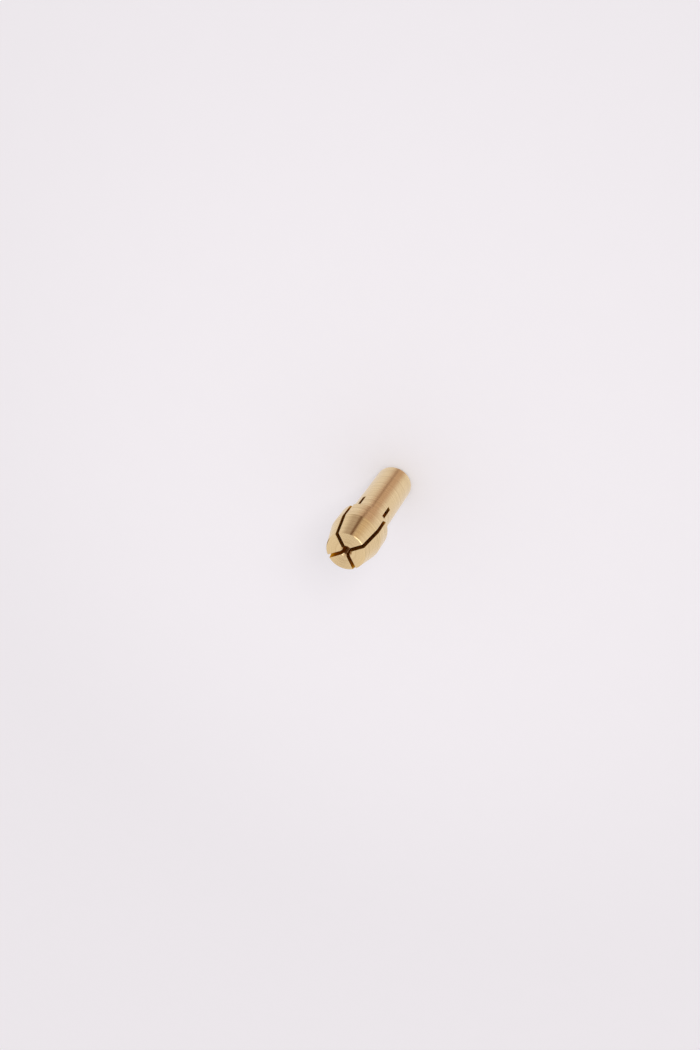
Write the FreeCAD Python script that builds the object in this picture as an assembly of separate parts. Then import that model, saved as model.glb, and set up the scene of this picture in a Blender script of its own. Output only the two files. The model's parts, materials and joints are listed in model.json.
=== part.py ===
import FreeCAD, Part
import os
from math import radians, sqrt, tan

# Electrode collet: one brass bar, turned outside, drilled from both ends and then sawn
# down its nose into four springy jaws. All sizes are in millimetres.
# It stands on the flat end of its shank. The origin is the centre of that end, and +Z runs
# up the axis to the nose. The two saw slots lie in the XZ and YZ planes.

# Turned outside, from the shank's end to the nose
total_length = 19.0
shank_diameter = 4.8
head_diameter = 6.25
nose_diameter = 4.8
back_cone_length = 0.9
land_length = 2.75
nose_cone_length = 3.4
shank_end_chamfer = 0.3
nose_edge_break = 0.08

# Bore: a short grip for the electrode in the nose, and a wider drilling up the shank
grip_diameter = 1.0
grip_length = 6.0
lead_in_chamfer = 0.25
drilling_diameter = 3.0
drilling_mouth_chamfer = 0.2
drill_point_angle = 118.0

# Saw slots, whose floor keeps the curve of the saw. Their length is taken along the outside
# of the shank, from the nose face to the end of the cut.
slot_width = 0.45
slot_length = 9.9
saw_diameter = 20.0

# How far every cutting shape runs past the surface that it opens
cut_overrun = 0.5

shank_radius = shank_diameter / 2
head_radius = head_diameter / 2
nose_radius = nose_diameter / 2
grip_radius = grip_diameter / 2
drilling_radius = drilling_diameter / 2
saw_radius = saw_diameter / 2

land_top = total_length - nose_cone_length
land_base = land_top - land_length
shank_top = land_base - back_cone_length

UP = FreeCAD.Vector(0, 0, 1)
ORIGIN = FreeCAD.Vector(0, 0, 0)


def turned(outline):
    """Solid of revolution about Z from the corners of its half section, as (radius, height)."""
    corners = [FreeCAD.Vector(radius, 0, height) for radius, height in outline]
    section = Part.Face(Part.makePolygon(corners + corners[:1]))
    return section.revolve(ORIGIN, UP, 360)


def turned_blank():
    """The outside: chamfered shank, back cone, straight land and long nose cone."""
    return turned([
        (0, 0),
        (shank_radius - shank_end_chamfer, 0),
        (shank_radius, shank_end_chamfer),
        (shank_radius, shank_top),
        (head_radius, land_base),
        (head_radius, land_top),
        (nose_radius, total_length - nose_edge_break),
        (nose_radius - nose_edge_break, total_length),
        (0, total_length),
    ])


def bore():
    """The hole through the collet: lead-in, grip, drill point, drilling and its mouth."""
    grip_top = total_length - lead_in_chamfer
    grip_base = grip_top - grip_length
    point_height = (drilling_radius - grip_radius) / tan(radians(drill_point_angle / 2))
    lead_in_reach = lead_in_chamfer + cut_overrun
    mouth_reach = drilling_mouth_chamfer + cut_overrun
    return turned([
        (0, total_length + cut_overrun),
        (grip_radius + lead_in_reach, total_length + cut_overrun),
        (grip_radius, grip_top),
        (grip_radius, grip_base),
        (drilling_radius, grip_base - point_height),
        (drilling_radius, drilling_mouth_chamfer),
        (drilling_radius + mouth_reach, -cut_overrun),
        (0, -cut_overrun),
    ])


def saw_depth_at(radius):
    """Drop of the saw's rim below its centre, at a distance from the collet's axis."""
    return sqrt(saw_radius ** 2 - radius ** 2)


def saw_cut():
    """What one pass of the saw takes out, in the XZ plane: a slot with a curved floor."""
    centre_height = total_length - slot_length + saw_depth_at(shank_radius)
    reach = head_radius + cut_overrun
    edge_height = centre_height - saw_depth_at(reach)
    top = total_length + cut_overrun
    side = -slot_width / 2
    floor_left = FreeCAD.Vector(-reach, side, edge_height)
    floor_middle = FreeCAD.Vector(0, side, centre_height - saw_radius)
    floor_right = FreeCAD.Vector(reach, side, edge_height)
    floor = Part.Arc(floor_left, floor_middle, floor_right).toShape()
    walls = Part.makePolygon([
        floor_right,
        FreeCAD.Vector(reach, side, top),
        FreeCAD.Vector(-reach, side, top),
        floor_left,
    ])
    outline = Part.Wire([floor] + walls.Edges)
    return Part.Face(outline).extrude(FreeCAD.Vector(0, slot_width, 0))


def collet():
    """The finished piece: the blank, bored through and sawn twice into four jaws."""
    first_cut = saw_cut()
    second_cut = first_cut.copy()
    second_cut.rotate(ORIGIN, UP, 90)
    return turned_blank().cut(bore()).cut(first_cut).cut(second_cut)


os.makedirs("parts", exist_ok=True)
piece = collet().Solids[0]
piece.exportStep("parts/collet.step")
print("collet", "valid", piece.isValid(), "volume", round(piece.Volume, 3))
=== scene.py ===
import json
from math import cos, hypot, pi, radians, sin, sqrt, tan

import bmesh
import bpy
from bpy.props import FloatProperty, FloatVectorProperty, IntProperty, PointerProperty
from mathutils import Matrix, Vector


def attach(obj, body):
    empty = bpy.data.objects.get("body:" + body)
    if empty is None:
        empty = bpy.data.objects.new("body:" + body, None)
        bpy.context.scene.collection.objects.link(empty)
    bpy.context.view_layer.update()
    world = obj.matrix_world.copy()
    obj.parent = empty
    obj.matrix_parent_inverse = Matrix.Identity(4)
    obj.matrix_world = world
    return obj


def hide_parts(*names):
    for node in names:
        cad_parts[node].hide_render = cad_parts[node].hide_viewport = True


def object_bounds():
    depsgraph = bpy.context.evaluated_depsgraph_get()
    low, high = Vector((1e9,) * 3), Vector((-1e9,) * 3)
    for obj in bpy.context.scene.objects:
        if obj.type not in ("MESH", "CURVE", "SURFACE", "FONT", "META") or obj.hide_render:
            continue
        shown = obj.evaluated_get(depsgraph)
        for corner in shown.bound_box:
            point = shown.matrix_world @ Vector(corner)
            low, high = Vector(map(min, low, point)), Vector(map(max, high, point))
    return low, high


bl_info = {
    "name": "Electrode collet",
    "version": (1, 0, 0),
    "blender": (4, 5, 0),
    "location": "View3D > Sidebar > Collet",
    "description": "Models a turned and slit brass collet, and the plain studio it stands in",
    "category": "Object",
}

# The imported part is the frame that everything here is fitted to
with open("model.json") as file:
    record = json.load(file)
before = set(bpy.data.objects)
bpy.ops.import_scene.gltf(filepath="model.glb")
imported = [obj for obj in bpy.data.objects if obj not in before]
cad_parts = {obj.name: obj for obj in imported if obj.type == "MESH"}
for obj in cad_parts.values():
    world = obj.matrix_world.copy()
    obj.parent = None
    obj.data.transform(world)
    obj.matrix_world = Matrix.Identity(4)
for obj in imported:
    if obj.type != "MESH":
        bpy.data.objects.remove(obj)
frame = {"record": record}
cad_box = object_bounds()
mounts = {mount["name"]: mount for mount in frame["record"]["mounts"]}

MM = 0.001
SLOT_WIDTH = 0.45 * MM

# The photograph's frame and the nose face's centre in it, in pixels
PICTURE_WIDTH = 700
PICTURE_HEIGHT = 1050
NOSE_CENTRE_X = 345.6
NOSE_CENTRE_Y = 551.4
SENSOR = 36.0

# Painted shade: how bright the sheet is painted far from the collet, as a share of its middle
PAINTED_EDGE_SHADE = 0.94

# Scale at which the wave texture repeats once per unit
WAVE = 2 * pi / 20

# Points closer than this count as one place
NEAR = 0.001 * MM

# A face whose normal has more than this share along an axis counts as square to it
SQUARE = 0.9999

# The sheet's side in metres, and how far it lies under the shank's end so that no faces coincide
SHEET_SIZE = 4
SHEET_GAP = 0.01 * MM

# Levels of the world: on everything, in the mirrored panels, in the panel for light that the brass
# throws back on the sheet, and in the backdrop, which runs on from the sheet
EVEN_LIGHT = 0.84
PANEL_LIGHT = 1.0
FILL_LIGHT = 1.4
# The backdrop's level follows the painted shade at the sheet's edge
BACKDROP_LIGHT = 0.993 * PAINTED_EDGE_SHADE

# What each lamp would give the sheet, as a share of a white world's light
KEY_SHARE = 0.155
GLINT_SHARE = 0.08

# Ends of a mirrored strip that lie beyond straight down and straight up, so that it never ends
OPEN_BELOW = (-1.2, -1.1)
OPEN_ABOVE = (1.1, 1.2)


def mount_size(name, key):
    """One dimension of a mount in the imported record, in metres."""
    return mounts[name]["dims"][key] * MM


def linear(hex_colour):
    """Linear red, green and blue of an sRGB hex colour such as 'E2C790'."""
    channels = [int(hex_colour[i:i + 2], 16) / 255 for i in (0, 2, 4)]
    return tuple(c / 12.92 if c <= 0.04045 else ((c + 0.055) / 1.055) ** 2.4 for c in channels)


def length_property(name, description, default):
    """A property that holds a length in metres."""
    return FloatProperty(name=name, description=description, default=default, unit="LENGTH",
                         precision=5)


def angle_property(name, description, degrees_default):
    """A property that holds an angle, given here in degrees."""
    return FloatProperty(name=name, description=description, default=radians(degrees_default),
                         unit="ROTATION")


def colour_property(name, description, hex_colour):
    """A property that holds a linear colour, given here as sRGB hex."""
    return FloatVectorProperty(name=name, description=description, default=linear(hex_colour),
                               subtype="COLOR", size=3, min=0, max=1)


class ColletSizes(bpy.types.PropertyGroup):
    """Sizes of the turned and slit piece."""

    length: length_property(
        "Length", "From the shank's end to the nose face", cad_box[1].z)
    shank_radius: length_property(
        "Shank radius", "Radius of the plain shank", mount_size("shank", "r_mm"))
    head_radius: length_property(
        "Head radius", "Radius of the straight land; the slots take the box's side back to this",
        hypot(cad_box[1].x, SLOT_WIDTH / 2))
    nose_radius: length_property(
        "Nose radius", "Radius of the nose cone at the broken edge of its face", 2.4 * MM)
    nose_cone: length_property(
        "Nose cone", "Length of the nose cone", 3.4 * MM)
    land: length_property(
        "Land", "Length of the straight land behind the nose cone", 2.75 * MM)
    back_cone: length_property(
        "Back cone", "Length of the cone between land and shank", 0.9 * MM)
    end_chamfer: length_property(
        "End chamfer", "Chamfer round the shank's flat end", 0.3 * MM)
    grip_radius: length_property(
        "Grip radius", "Radius of the bore that grips the electrode",
        mount_size("grip_bore", "r_mm"))
    grip_length: length_property(
        "Grip length", "Length of the bore that grips the electrode",
        mount_size("grip_bore", "length_mm"))
    lead_in: length_property(
        "Lead-in", "Chamfer at the mouth of the grip bore", 0.25 * MM)
    drilling_radius: length_property(
        "Drilling radius", "Radius of the wider hole up the shank",
        mount_size("drilling", "r_mm"))
    drilling_mouth: length_property(
        "Drilling mouth", "Chamfer at the mouth of the wider hole", 0.2 * MM)
    drill_point: angle_property(
        "Drill point", "Full angle of the drill's point", 118)
    slot_width: length_property(
        "Slot width", "Width of the two saw slots", SLOT_WIDTH)
    slot_length: length_property(
        "Slot length", "Length of a slot along the outside, from the nose face", 9.9 * MM)
    saw_radius: length_property(
        "Saw radius", "Radius of the saw, which curves the slot's floor", 10 * MM)
    edge_break: length_property(
        "Edge break", "Small chamfer round the nose face", 0.08 * MM)
    burnish: length_property(
        "Burnish", "Width of the burnished edge along the slots", 0.03 * MM)
    columns: IntProperty(
        name="Columns", description="Faces round the axis, laid so that none ends at a slot's edge",
        default=136)


class BrassFinish(bpy.types.PropertyGroup):
    """Colours of the brass."""

    bright: colour_property("Bright brass", "Freshly cut brass", "EBD1A3")
    warm: colour_property("Warm brass", "Darker brass in the tool marks", "D5B88A")
    sawn: colour_property("Sawn brass", "Duller brass on the sawn walls of the slots", "E0B355")
    dull: colour_property("Dull brass", "Brown brass in the deepest saw marks", "CC9B3E")


class StudioSettings(bpy.types.PropertyGroup):
    """The camera's place round the collet, and the colours of the studio."""

    tilt: angle_property("Tilt", "Between the line of sight and the collet's axis", 34)
    azimuth: angle_property("Azimuth", "Turn of the camera about the axis, from a slot", 32.1)
    roll: angle_property("Roll", "Turn of the camera about its line of sight", -143.58)
    distance: length_property(
        "Distance", "From the camera to the nose face, along the line of sight", 108.9 * MM)
    lens: FloatProperty(
        name="Lens", description="Focal length in mm, for the picture's long side", default=32.5)
    sheet: colour_property("Sheet", "Pale sheet that the collet stands on", "F4EFF3")
    panels: colour_property("Panels", "Pale studio panels that the brass mirrors", "FBF9FA")
    fill: colour_property(
        "Fill", "Cool panel whose light the brass throws back on the sheet", "D2E2FF")
    low_gap: colour_property("Low gap", "Dim warm gap under the panels", "D3B9AD")
    high_gap: colour_property("High gap", "Dim grey gap between the panels", "C0B4AE")
    warm_gap: colour_property("Warm gap", "Warmer edge of the grey gap", "E2D1BC")
    upright: colour_property("Upright", "Dark narrow upright in the gap", "75533D")
    far_gap: colour_property("Far gap", "Darker gaps on the other sides", "7E6C60")


def start_clean():
    """Leaves edit mode and deselects everything, so that an operator acts on new things alone."""
    if bpy.context.object is not None and bpy.context.object.mode != "OBJECT":
        bpy.ops.object.mode_set(mode="OBJECT")
    bpy.ops.object.select_all(action="DESELECT")


def pick(piece, kind, test):
    """Selects the faces or edges of a piece in edit mode that pass the test, and no others."""
    bpy.ops.mesh.select_mode(type=kind)
    bpy.ops.mesh.select_all(action="DESELECT")
    mesh = bmesh.from_edit_mesh(piece.data)
    for part in (mesh.faces if kind == "FACE" else mesh.edges):
        if test(part):
            part.select_set(True)
    bmesh.update_edit_mesh(piece.data)


def rounded(corners):
    """Outline with its corners rounded. Each corner is a radius, a height and a rounding."""
    steps = 5
    outline = []
    for i, (radius, height, rounding) in enumerate(corners):
        corner = Vector((radius, height))
        if rounding == 0:
            outline.append(corner)
            continue
        back = (Vector(corners[i - 1][:2]) - corner).normalized()
        ahead = (Vector(corners[(i + 1) % len(corners)][:2]) - corner).normalized()
        half_angle = back.angle(ahead) / 2
        centre = corner + (back + ahead).normalized() * rounding / sin(half_angle)
        start = corner + back * rounding / tan(half_angle) - centre
        end = corner + ahead * rounding / tan(half_angle) - centre
        sweep = pi - 2 * half_angle
        for step in range(steps + 1):
            share = step / steps
            outline.append(centre + (start * sin((1 - share) * sweep) + end * sin(share * sweep))
                           / sin(sweep))
    return outline


def saw_floor(sizes, radius):
    """Height of the slot's curved floor at a distance from the axis."""
    outside = sizes.length - sizes.slot_length
    centre = outside + sqrt(sizes.saw_radius ** 2 - sizes.shank_radius ** 2)
    return centre - sqrt(sizes.saw_radius ** 2 - radius ** 2)


def section(sizes):
    """Half section of the collet before it is sawn: out over the nose, down, and up the bore."""
    s = sizes
    land_top = s.length - s.nose_cone
    land_base = land_top - s.land
    grip_base = s.length - s.lead_in - s.grip_length
    point_height = (s.drilling_radius - s.grip_radius) / tan(s.drill_point / 2)
    # A shallow corner gets a larger rounding, because less of it shows
    soft, blunt, fine, crisp = 0.15 * MM, 0.08 * MM, 0.03 * MM, 0.015 * MM
    return rounded([
        (s.grip_radius, s.length - s.lead_in, 0),
        (s.grip_radius + s.lead_in, s.length, 0),
        (s.nose_radius - s.edge_break, s.length, crisp),
        (s.nose_radius, s.length - s.edge_break, crisp),
        (s.head_radius, land_top, soft),
        (s.head_radius, land_base, blunt),
        (s.shank_radius, land_base - s.back_cone, blunt),
        (s.shank_radius, saw_floor(s, s.shank_radius), 0),
        (s.shank_radius, s.end_chamfer, blunt),
        (s.shank_radius - s.end_chamfer, 0, blunt),
        (s.drilling_radius + s.drilling_mouth, 0, fine),
        (s.drilling_radius, s.drilling_mouth, fine),
        (s.drilling_radius, saw_floor(s, s.drilling_radius), 0),
        (s.drilling_radius, grip_base - point_height, 0),
        (s.grip_radius, grip_base, 0),
    ])


def turn(name, outline, columns):
    """Closed shell round Z: one circle, extruded and resized from ring to ring."""
    start_clean()
    bpy.ops.mesh.primitive_circle_add(vertices=columns, radius=outline[0].x,
                                      rotation=(0, 0, pi / columns))
    piece = bpy.context.object
    piece.name = name
    bpy.ops.object.transform_apply(location=True, rotation=True, scale=True)
    bpy.ops.object.mode_set(mode="EDIT")
    bpy.ops.mesh.select_all(action="SELECT")
    bpy.ops.transform.translate(value=(0, 0, outline[0].y))
    for before, after in zip(outline, outline[1:] + outline[:1]):
        bpy.ops.mesh.extrude_region_move(
            TRANSFORM_OT_translate={"value": (0, 0, after.y - before.y)})
        wider = after.x / before.x
        bpy.ops.transform.resize(value=(wider, wider, 1), center_override=(0, 0, after.y))
    bpy.ops.mesh.select_all(action="SELECT")
    bpy.ops.mesh.remove_doubles(threshold=NEAR / 2)
    bpy.ops.mesh.normals_make_consistent(inside=False)
    return piece


def saw_slots(piece, sizes):
    """Opens the two crossed slots: four bisected edges, the strips between them, new walls."""
    half = sizes.slot_width / 2
    for across in (Vector((1, 0, 0)), Vector((0, 1, 0))):
        for side in (-half, half):
            bpy.ops.mesh.select_all(action="SELECT")
            bpy.ops.mesh.bisect(plane_co=across * side, plane_no=across, threshold=NEAR / 10)

    def in_slot(face):
        centre = face.calc_center_median()
        return (min(abs(centre.x), abs(centre.y)) < half
                and centre.z > saw_floor(sizes, hypot(centre.x, centre.y)))

    pick(piece, "FACE", in_slot)
    bpy.ops.mesh.delete(type="FACE")
    for along in (Vector((1, 0, 0)), Vector((0, 1, 0)), Vector((-1, 0, 0)), Vector((0, -1, 0))):
        across = along.yzx if along.x == 0 else along.zxy

        def ends(edge):
            return edge.is_boundary and all(
                v.co.dot(along) > 0
                and abs(v.co.dot(across)) < half + NEAR
                and abs(v.co.z - saw_floor(sizes, hypot(v.co.x, v.co.y))) < NEAR * 3
                for v in edge.verts)

        pick(piece, "EDGE", ends)
        bpy.ops.mesh.bridge_edge_loops()
        for side in (-half, half):
            pick(piece, "EDGE", lambda edge: edge.is_boundary and all(
                v.co.dot(along) > 0 and abs(v.co.dot(across) - side) < NEAR for v in edge.verts))
            bpy.ops.mesh.edge_face_add()
    bpy.ops.mesh.select_all(action="SELECT")
    bpy.ops.mesh.normals_make_consistent(inside=False)


def slot_wall(face, half):
    """Whether a face lies on a flat wall of a slot, given half the slot's width."""
    centre = face.calc_center_median()
    return (max(abs(face.normal.x), abs(face.normal.y)) > SQUARE
            and abs(min(abs(centre.x), abs(centre.y)) - half) < NEAR)


def burnish_slots(piece, sizes):
    """Breaks the slots' outer edges and the rim of the bore, where the burr was rubbed away."""
    half = sizes.slot_width / 2
    rim = sizes.grip_radius + sizes.lead_in
    floor_end = saw_floor(sizes, sizes.shank_radius)

    def nose_face(face):
        return face.normal.z > SQUARE and face.calc_center_median().z > sizes.length - NEAR

    def outer_edge(edge):
        ends = [v.co for v in edge.verts]
        radii = [hypot(end.x, end.y) for end in ends]
        beside_wall = (any(slot_wall(face, half) for face in edge.link_faces)
                       and min(radii) > rim - NEAR
                       and (ends[0].z + ends[1].z) / 2 > saw_floor(sizes, sum(radii) / 2) + NEAR)
        across_end = (all(abs(end.z - floor_end) < NEAR for end in ends)
                      and min(radii) > sizes.shank_radius - 3 * NEAR
                      and all(min(abs(end.x), abs(end.y)) < half + NEAR for end in ends))
        round_rim = (any(nose_face(face) for face in edge.link_faces)
                     and max(radii) < rim + NEAR)
        return beside_wall or across_end or round_rim

    pick(piece, "FACE", nose_face)
    bpy.ops.mesh.dissolve_limited(angle_limit=radians(0.1))
    pick(piece, "EDGE", outer_edge)
    bpy.ops.mesh.bevel(offset=sizes.burnish, offset_type="OFFSET", segments=3, affect="EDGES",
                       clamp_overlap=False)
    bpy.ops.mesh.select_all(action="SELECT")
    bpy.ops.mesh.remove_doubles(threshold=NEAR)


def add(tree, kind, settings=None, links=None):
    """Adds a node, sets its properties and input sockets, and links its inputs."""
    node = tree.nodes.new(kind)
    for name, value in (settings or {}).items():
        if isinstance(name, str) and hasattr(node, name):
            setattr(node, name, value)
        else:
            node.inputs[name].default_value = value
    for name, socket in (links or {}).items():
        tree.links.new(socket, node.inputs[name])
    return node


def new_material(name):
    """An empty material and its node tree."""
    material = bpy.data.materials.new(name)
    material.use_nodes = True
    material.node_tree.nodes.clear()
    return material, material.node_tree


def tool_path(tree, cut, saw_radius):
    """Place on the brass, as X and Y, and the distance across the tool marks, as Z."""
    place = add(tree, "ShaderNodeTexCoord").outputs["Object"]
    if cut == "turned":
        # The marks follow each other along the axis
        return place
    split = add(tree, "ShaderNodeSeparateXYZ", links={"Vector": place})
    from_axis = add(tree, "ShaderNodeCombineXYZ",
                    links={"X": split.outputs["X"], "Y": split.outputs["Y"]})
    radius = add(tree, "ShaderNodeVectorMath", {"operation": "LENGTH"}, {0: from_axis.outputs[0]})
    across = radius.outputs["Value"]
    if cut == "sawn":
        # The marks are arcs of the saw's rim, one below the other
        square = add(tree, "ShaderNodeMath", {"operation": "POWER", 1: 2.0}, {0: across})
        rest = add(tree, "ShaderNodeMath", {"operation": "SUBTRACT", 0: saw_radius ** 2},
                   {1: square.outputs[0]})
        drop = add(tree, "ShaderNodeMath", {"operation": "SQRT"}, {0: rest.outputs[0]})
        across = add(tree, "ShaderNodeMath", {"operation": "ADD"},
                     {0: split.outputs["Z"], 1: drop.outputs[0]}).outputs[0]
    return add(tree, "ShaderNodeCombineXYZ",
               links={"X": split.outputs["X"], "Y": split.outputs["Y"], "Z": across}).outputs[0]


def brass(name, cut, colours, edge_tint, pitch, depth, roughness, anisotropy, saw_radius):
    """Bright machined brass: a warm mirror, blurred across the direction of its tool marks."""
    # Marks hardly change along their length, and lie in bands one pitch wide with a few feed lines
    mark_length = 400 * MM
    lines_per_band = 4
    line_weight = 0.12
    # Low relief is brighter and smoother, high relief warmer and rougher
    low, high = 0.42, 0.70
    smoothest, roughest = roughness * 0.8, roughness * 1.25
    material, tree = new_material(name)
    path = tool_path(tree, cut, saw_radius)
    long = add(tree, "ShaderNodeMapping",
               {"Scale": (1 / mark_length, 1 / mark_length, 1 / pitch)}, {"Vector": path})
    feed = add(tree, "ShaderNodeTexWave",
               {"bands_direction": "Z", "Scale": lines_per_band * WAVE, "Distortion": 2.0,
                "Detail": 2.0, "Detail Scale": 1.0}, {"Vector": long.outputs[0]}).outputs["Fac"]
    uneven = add(tree, "ShaderNodeTexNoise", {"Scale": 1.0, "Detail": 4.0, "Roughness": 0.65},
                 {"Vector": long.outputs[0]}).outputs["Fac"]
    relief = add(tree, "ShaderNodeMath", {"operation": "MULTIPLY_ADD", 1: line_weight},
                 {0: feed, 2: uneven})
    share = add(tree, "ShaderNodeMapRange", {"From Min": low, "From Max": high},
                {"Value": relief.outputs[0]})
    colour = add(tree, "ShaderNodeMix", {"data_type": "RGBA"}, {"Factor": share.outputs[0]})
    colour.inputs["A"].default_value = (*colours[0], 1)
    colour.inputs["B"].default_value = (*colours[1], 1)
    rough = add(tree, "ShaderNodeMapRange",
                {"From Min": low, "From Max": high, "To Min": smoothest, "To Max": roughest},
                {"Value": relief.outputs[0]})
    bump = add(tree, "ShaderNodeBump", {"Distance": depth}, {"Height": relief.outputs[0]})
    shader = add(tree, "ShaderNodeBsdfPrincipled",
                 {"Metallic": 1.0, "Specular Tint": (*edge_tint, 1),
                  "Anisotropic": anisotropy, "Anisotropic Rotation": 0.25},
                 {"Base Color": colour.outputs["Result"], "Roughness": rough.outputs[0],
                  "Normal": bump.outputs[0]})
    if anisotropy:
        round_axis = add(tree, "ShaderNodeTangent", {"direction_type": "RADIAL", "axis": "Z"})
        tree.links.new(round_axis.outputs[0], shader.inputs["Tangent"])
    add(tree, "ShaderNodeOutputMaterial", links={"Surface": shader.outputs[0]})
    return material


def dress(piece, sizes, finish):
    """Gives each surface the brass that its cutting left: turned, faced, bored or sawn."""
    half = sizes.slot_width / 2
    bright, warm, sawn, dull = (
        tuple(colour) for colour in (finish.bright, finish.warm, finish.sawn, finish.dull))
    white = (1, 1, 1)
    # Upward share of a normal that makes a face level, or part of a slot's curved floor
    level = 0.999
    mostly_up = 0.9
    # A fine cut leaves finer marks. These are as coarse as the photograph shows them: on the
    # outside, feed lines about 0.1 mm apart in bands of about 0.4 mm
    for name, cut, colours, edge_tint, pitch, depth, roughness, anisotropy in (
            ("turned_brass", "turned", (bright, warm), white, 0.38 * MM, 0.008 * MM, 0.22, 0.75),
            ("faced_brass", "faced", (bright, warm), white, 0.36 * MM, 0.004 * MM, 0.24, 0.75),
            ("bored_brass", "turned", (bright, warm), sawn, 0.20 * MM, 0.004 * MM, 0.35, 0.3),
            ("sawn_brass", "sawn", (sawn, dull), dull, 0.16 * MM, 0.004 * MM, 0.42, 0.0)):
        piece.data.materials.append(brass(
            name, cut, colours, edge_tint, pitch, depth, roughness, anisotropy, sizes.saw_radius))

    def faced(face):
        return abs(face.normal.z) > level and (
            face.calc_center_median().z > sizes.length - NEAR or face.calc_center_median().z < NEAR)

    def bored(face):
        centre = face.calc_center_median()
        return hypot(centre.x, centre.y) < sizes.drilling_radius + NEAR and not faced(face)

    def sawn_face(face):
        centre = face.calc_center_median()
        floor = (face.normal.z > mostly_up and centre.z < sizes.length / 2
                 and min(abs(centre.x), abs(centre.y)) < half)
        return floor or slot_wall(face, half)

    for index, test in ((1, faced), (2, bored), (3, sawn_face)):
        pick(piece, "FACE", test)
        piece.active_material_index = index
        bpy.ops.object.material_slot_assign()


class COLLET_OT_body(bpy.types.Operator):
    """Model the collet as one turned, bored and slit piece of brass"""

    bl_idname = "collet.body"
    bl_label = "Collet"

    def execute(self, context):
        sizes = context.scene.collet_sizes
        piece = turn("slit_collet", section(sizes), sizes.columns)
        saw_slots(piece, sizes)
        burnish_slots(piece, sizes)
        dress(piece, sizes, context.scene.brass_finish)
        bpy.ops.object.mode_set(mode="OBJECT")
        bpy.ops.object.shade_smooth_by_angle(angle=radians(35))
        weighted = piece.modifiers.new("Flat faces stay flat", "WEIGHTED_NORMAL")
        weighted.keep_sharp = True
        bpy.ops.object.modifier_apply(modifier=weighted.name)
        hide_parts("collet")
        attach(piece, "root")
        return {"FINISHED"}


def sheet_material(colour):
    """Smooth matt card: a soft pale surface with no gloss, with painted shade that makes it a
    little dimmer away from its middle.
    """
    grain_size = 4 * MM
    even_reach = 20 * MM
    far_reach = 90 * MM
    material, tree = new_material("matt_card_painted_shade")
    place = add(tree, "ShaderNodeTexCoord").outputs["Object"]
    grain = add(tree, "ShaderNodeTexNoise", {"Scale": 1 / grain_size, "Detail": 3.0},
                {"Vector": place})
    uneven = add(tree, "ShaderNodeMapRange", {"To Min": 0.99, "To Max": 1.0},
                 {"Value": grain.outputs["Fac"]})
    reach = add(tree, "ShaderNodeVectorMath", {"operation": "LENGTH"}, {0: place})
    # Painted shade: the card's colour darkens from the even middle to the far edge, as falling-off
    # light would darken it
    painted_falloff = add(tree, "ShaderNodeMapRange",
                  {"interpolation_type": "SMOOTHSTEP", "From Min": even_reach,
                   "From Max": far_reach, "To Min": 1.0, "To Max": PAINTED_EDGE_SHADE},
                  {"Value": reach.outputs["Value"]})
    grain_and_painted_shade = add(tree, "ShaderNodeMath", {"operation": "MULTIPLY"},
               {0: uneven.outputs[0], 1: painted_falloff.outputs[0]})
    shade = add(tree, "ShaderNodeVectorMath", {"operation": "SCALE", 0: colour},
                {"Scale": grain_and_painted_shade.outputs[0]})
    shader = add(tree, "ShaderNodeBsdfDiffuse", links={"Color": shade.outputs[0]})
    add(tree, "ShaderNodeOutputMaterial", links={"Surface": shader.outputs[0]})
    return material


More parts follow.
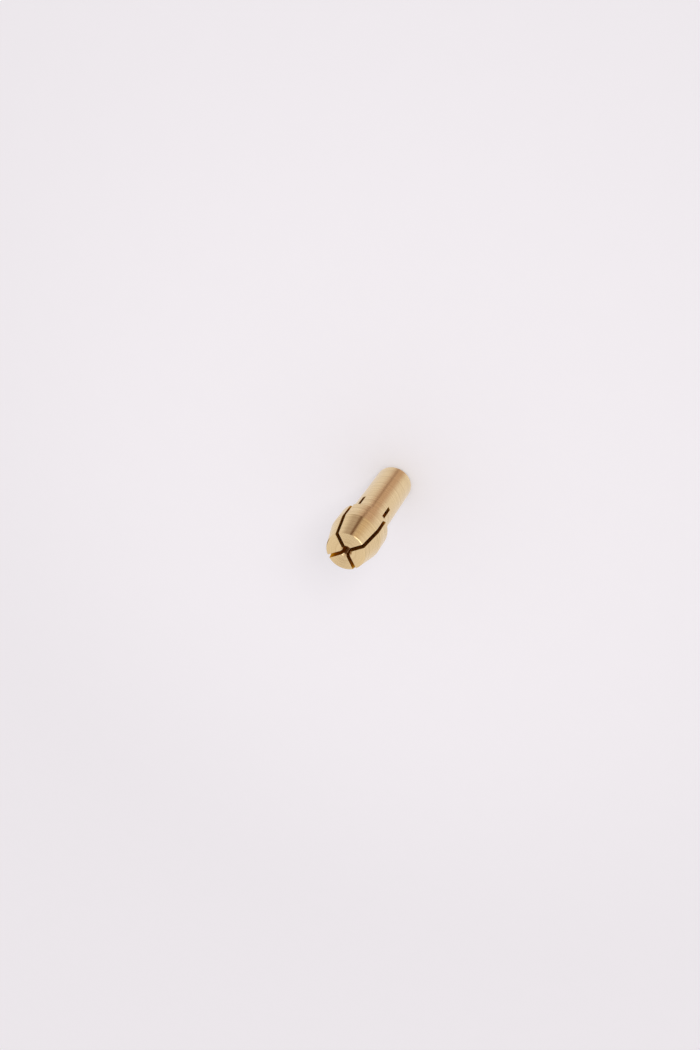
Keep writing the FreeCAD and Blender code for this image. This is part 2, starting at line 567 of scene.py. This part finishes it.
def studio_world(settings):
    """Soft even light, with pale panels and the dim gaps between them for the brass to mirror."""
    world = bpy.data.worlds.new("soft_studio")
    bpy.context.scene.world = world
    world.use_nodes = True
    tree = world.node_tree
    tree.nodes.clear()
    direction = add(tree, "ShaderNodeTexCoord").outputs["Generated"]
    level = add(tree, "ShaderNodeVectorMath", {"operation": "MULTIPLY", 1: (1, 1, 0)},
                {0: direction})
    heading = add(tree, "ShaderNodeVectorMath", {"operation": "NORMALIZE"}, {0: level.outputs[0]})
    height = add(tree, "ShaderNodeSeparateXYZ", links={"Vector": direction}).outputs["Z"]

    def rise(value, start, end):
        """Soft step from 0 at the start to 1 at the end."""
        return add(tree, "ShaderNodeMapRange",
                   {"interpolation_type": "SMOOTHSTEP", "From Min": start, "From Max": end},
                   {"Value": value}).outputs[0]

    def strip(azimuth, inner, outer, bottom, top):
        """Share of an upright strip: full inside the inner angle, with soft sides and ends."""
        facing = add(tree, "ShaderNodeVectorMath",
                     {"operation": "DOT_PRODUCT", 1: (cos(azimuth), sin(azimuth), 0)},
                     {0: heading.outputs[0]})
        angle = add(tree, "ShaderNodeMath", {"operation": "ARCCOSINE"},
                    {0: facing.outputs["Value"]}).outputs[0]
        share = rise(angle, radians(outer), radians(inner))
        for end in (rise(height, *bottom), rise(height, top[1], top[0])):
            share = add(tree, "ShaderNodeMath", {"operation": "MULTIPLY"},
                        {0: share, 1: end}).outputs[0]
        return share

    def mixed(share, first, second):
        """The first shader, replaced by the second as far as the share says."""
        return add(tree, "ShaderNodeMixShader",
                   links={"Fac": share, 1: first.outputs[0], 2: second.outputs[0]})

    colour = tuple(settings.panels)
    mirrored = None
    # Each strip: its turn from the camera in degrees, how far it is full and how far it fades to
    # either side, and the heights between which it fades in and out, as a mirrored direction's Z
    for strip_colour, turn_from_camera, inner, outer, bottom, top in (
            (settings.low_gap, 13, 12, 60, OPEN_BELOW, (-0.8, -0.5)),
            (settings.warm_gap, 10, 4, 44, (-0.8, -0.55), (0.5, 0.8)),
            (settings.high_gap, 42, 6, 38, (-0.8, -0.55), (0.5, 0.8)),
            (settings.upright, 26, 1, 10, (-1.05, -0.62), (0.5, 0.8)),
            (settings.far_gap, -80, 8, 26, (-0.4, -0.25), (-0.05, 0.2)),
            (settings.far_gap, 136, 4, 16, (-0.4, -0.25), (0.4, 0.7)),
            (settings.far_gap, 186, 12, 40, (-0.4, -0.25), (0.4, 0.7)),
            (settings.far_gap, 164, 6, 30, (0.86, 0.93), OPEN_ABOVE)):
        share = strip(settings.azimuth + radians(turn_from_camera), inner, outer, bottom, top)
        mix = add(tree, "ShaderNodeMix", {"data_type": "RGBA"}, {"Factor": share})
        mix.inputs["A"].default_value = (*colour, 1)
        mix.inputs["B"].default_value = (*strip_colour, 1)
        if mirrored is not None:
            tree.links.new(mirrored, mix.inputs["A"])
        mirrored = mix.outputs["Result"]

    path = add(tree, "ShaderNodeLightPath").outputs
    seen = add(tree, "ShaderNodeMath", {"operation": "ADD"},
               {0: path["Is Camera Ray"], 1: path["Is Transmission Ray"]})
    light = add(tree, "ShaderNodeBackground",
                {"Strength": EVEN_LIGHT, "Color": (1, 1, 1, 1)})
    panels = add(tree, "ShaderNodeBackground", {"Strength": PANEL_LIGHT}, {"Color": mirrored})
    backdrop = add(tree, "ShaderNodeBackground",
                   {"Strength": BACKDROP_LIGHT, "Color": (*settings.sheet, 1)})
    # Light that the brass throws back on the sheet comes from a plain cool panel
    thrown = add(tree, "ShaderNodeMath", {"operation": "GREATER_THAN", 1: 0.5},
                 {0: path["Diffuse Depth"]})
    fill = add(tree, "ShaderNodeBackground",
               {"Strength": FILL_LIGHT, "Color": (*settings.fill, 1)})
    behind = mixed(thrown.outputs[0], panels, fill)
    glossy = mixed(path["Is Glossy Ray"], light, behind)
    all_rays = mixed(seen.outputs[0], glossy, backdrop)
    add(tree, "ShaderNodeOutputWorld", links={"Surface": all_rays.outputs[0]})


def softbox(name, azimuth, elevation, width, height, share, mirrored):
    """Far soft lamp, as wide and high as two angles, that lights the scene or is only mirrored."""
    start_clean()
    distance = 20
    direction = Vector((cos(azimuth) * cos(elevation), sin(azimuth) * cos(elevation),
                        sin(elevation)))
    bpy.ops.object.light_add(type="AREA", location=direction * distance)
    light = bpy.context.object
    light.name = name
    light.data.shape = "RECTANGLE"
    light.data.size = 2 * distance * tan(width / 2)
    light.data.size_y = 2 * distance * tan(height / 2)
    # Gives a level sheet this share of what a white world of strength 1 gives it
    light.data.energy = share * (pi * distance) ** 2 / sin(elevation)
    light.visible_camera = False
    light.visible_glossy = mirrored
    light.visible_diffuse = not mirrored
    light.rotation_mode = "QUATERNION"
    light.rotation_quaternion = direction.to_track_quat("Z", "Y")


def place_camera(sizes, settings):
    """Camera on the photograph's line of sight, rolled as the collet lies in the picture."""
    towards = Vector((sin(settings.tilt) * cos(settings.azimuth),
                      sin(settings.tilt) * sin(settings.azimuth), cos(settings.tilt)))
    upright = towards.to_track_quat("Z", "Y").to_matrix()
    turned = Matrix.Rotation(settings.roll, 3, towards) @ upright
    pixel = settings.distance / (settings.lens / SENSOR * PICTURE_HEIGHT)
    right_shift = (NOSE_CENTRE_X - PICTURE_WIDTH / 2) * pixel
    up_shift = (PICTURE_HEIGHT / 2 - NOSE_CENTRE_Y) * pixel
    place = (Vector((0, 0, sizes.length)) + towards * settings.distance
             - turned.col[0] * right_shift - turned.col[1] * up_shift)
    start_clean()
    bpy.ops.object.camera_add(location=place, rotation=turned.to_euler())
    camera = bpy.context.object
    camera.name = "photograph_camera"
    camera.data.lens = settings.lens
    camera.data.sensor_width = SENSOR
    camera.data.clip_start = MM
    camera.data.clip_end = 10
    bpy.context.scene.camera = camera


class COLLET_OT_studio(bpy.types.Operator):
    """Set up the pale floor, the soft light and the camera"""

    bl_idname = "collet.studio"
    bl_label = "Studio"

    def execute(self, context):
        settings = context.scene.studio_settings
        start_clean()
        bpy.ops.mesh.primitive_plane_add(size=SHEET_SIZE, location=(0, 0, -SHEET_GAP))
        floor = context.object
        floor.name = "floor"
        bpy.ops.object.transform_apply(location=True, rotation=True, scale=True)
        floor.data.materials.append(sheet_material(tuple(settings.sheet)))
        floor.visible_glossy = False
        studio_world(settings)
        # A lamp a little lower than the camera leaves the soft shade on the sheet
        softbox("key_box", settings.azimuth - radians(5), radians(46), radians(20), radians(20),
                KEY_SHARE, mirrored=False)
        # A wide low one is only mirrored, in the nose's broken edge and in the lead-in
        softbox("glint_box", radians(12), radians(38), radians(44), radians(12),
                GLINT_SHARE, mirrored=True)
        place_camera(context.scene.collet_sizes, settings)
        context.scene.view_settings.view_transform = "Standard"
        return {"FINISHED"}


class COLLET_PT_sidebar(bpy.types.Panel):
    """The collet's sizes, finish and studio"""

    bl_idname = "COLLET_PT_sidebar"
    bl_label = "Electrode collet"
    bl_space_type = "VIEW_3D"
    bl_region_type = "UI"
    bl_category = "Collet"

    def draw(self, context):
        for group in (context.scene.collet_sizes, context.scene.brass_finish,
                      context.scene.studio_settings):
            box = self.layout.box()
            for name in group.__annotations__:
                box.prop(group, name)
        self.layout.operator(COLLET_OT_body.bl_idname)
        self.layout.operator(COLLET_OT_studio.bl_idname)


classes = (ColletSizes, BrassFinish, StudioSettings, COLLET_OT_body, COLLET_OT_studio,
           COLLET_PT_sidebar)


def register():
    """Registers the classes and puts the settings on the scene."""
    for item in classes:
        bpy.utils.register_class(item)
    bpy.types.Scene.collet_sizes = PointerProperty(type=ColletSizes)
    bpy.types.Scene.brass_finish = PointerProperty(type=BrassFinish)
    bpy.types.Scene.studio_settings = PointerProperty(type=StudioSettings)


def unregister():
    """Takes the settings off the scene and unregisters the classes."""
    del bpy.types.Scene.studio_settings
    del bpy.types.Scene.brass_finish
    del bpy.types.Scene.collet_sizes
    for item in reversed(classes):
        bpy.utils.unregister_class(item)


def main():
    """Builds the collet and its studio."""
    register()
    bpy.ops.collet.body()
    bpy.ops.collet.studio()


if __name__ == "__main__":
    main()
